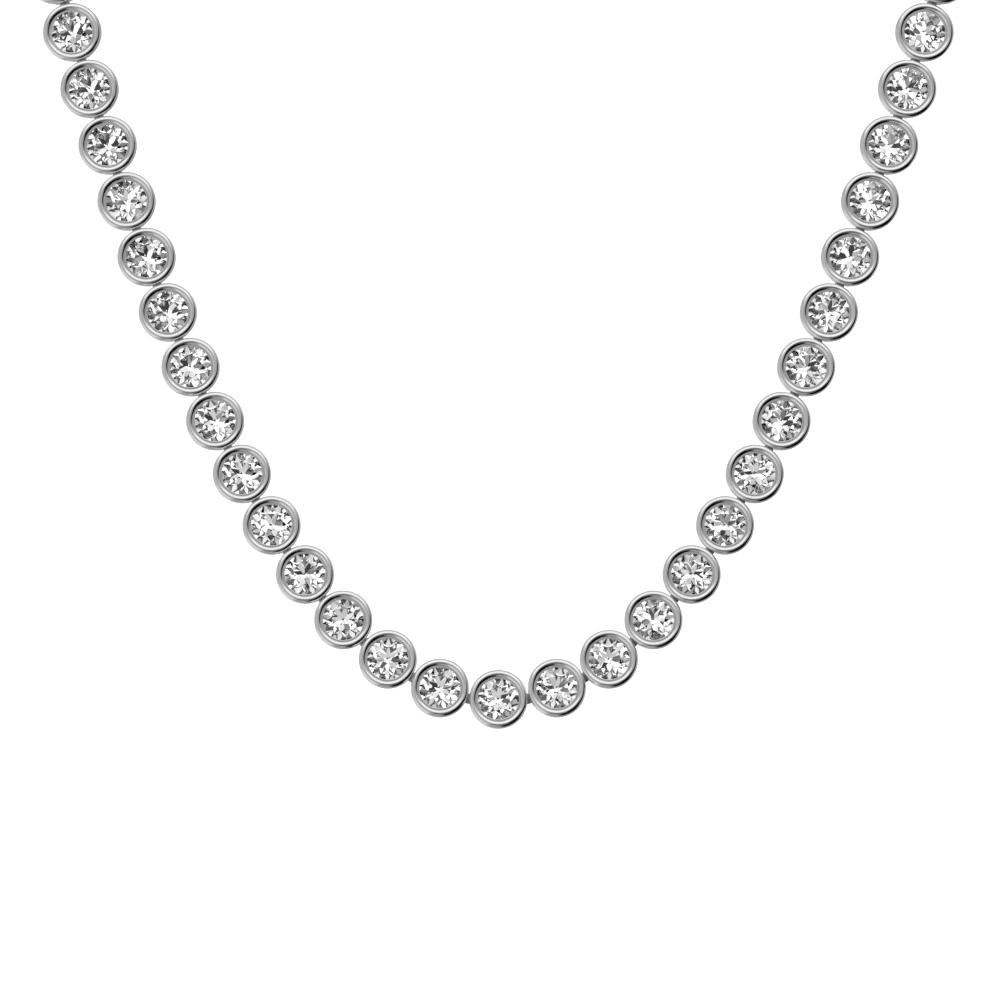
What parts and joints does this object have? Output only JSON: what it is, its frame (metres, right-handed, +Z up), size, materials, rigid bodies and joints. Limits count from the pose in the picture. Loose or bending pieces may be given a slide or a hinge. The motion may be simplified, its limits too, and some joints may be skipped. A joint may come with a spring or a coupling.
{
  "type": "necklace",
  "caption": "Line necklace of equal round brilliants in rounded cup settings, joined by strap links, with a plain box clasp at the nape, held as it hangs when worn.",
  "frame": {"origin": "middle of the clasp's skin side, where the necklace rests on the nape", "axes": "+Z up as worn, the front of the necklace faces -Y, +X towards the picture's right"},
  "size_m": [0.113, 0.1003, 0.1156],
  "materials": {
    "metal": "polished white metal",
    "stone": "faceted, clear and colourless"
  },
  "bodies": {
    "root": {"settings_left": "metal", "settings_right": "metal", "stones_left": "stone", "stones_right": "stone", "links_left": "metal", "links_right": "metal", "clasp": "metal"}
  },
  "joints": []
}
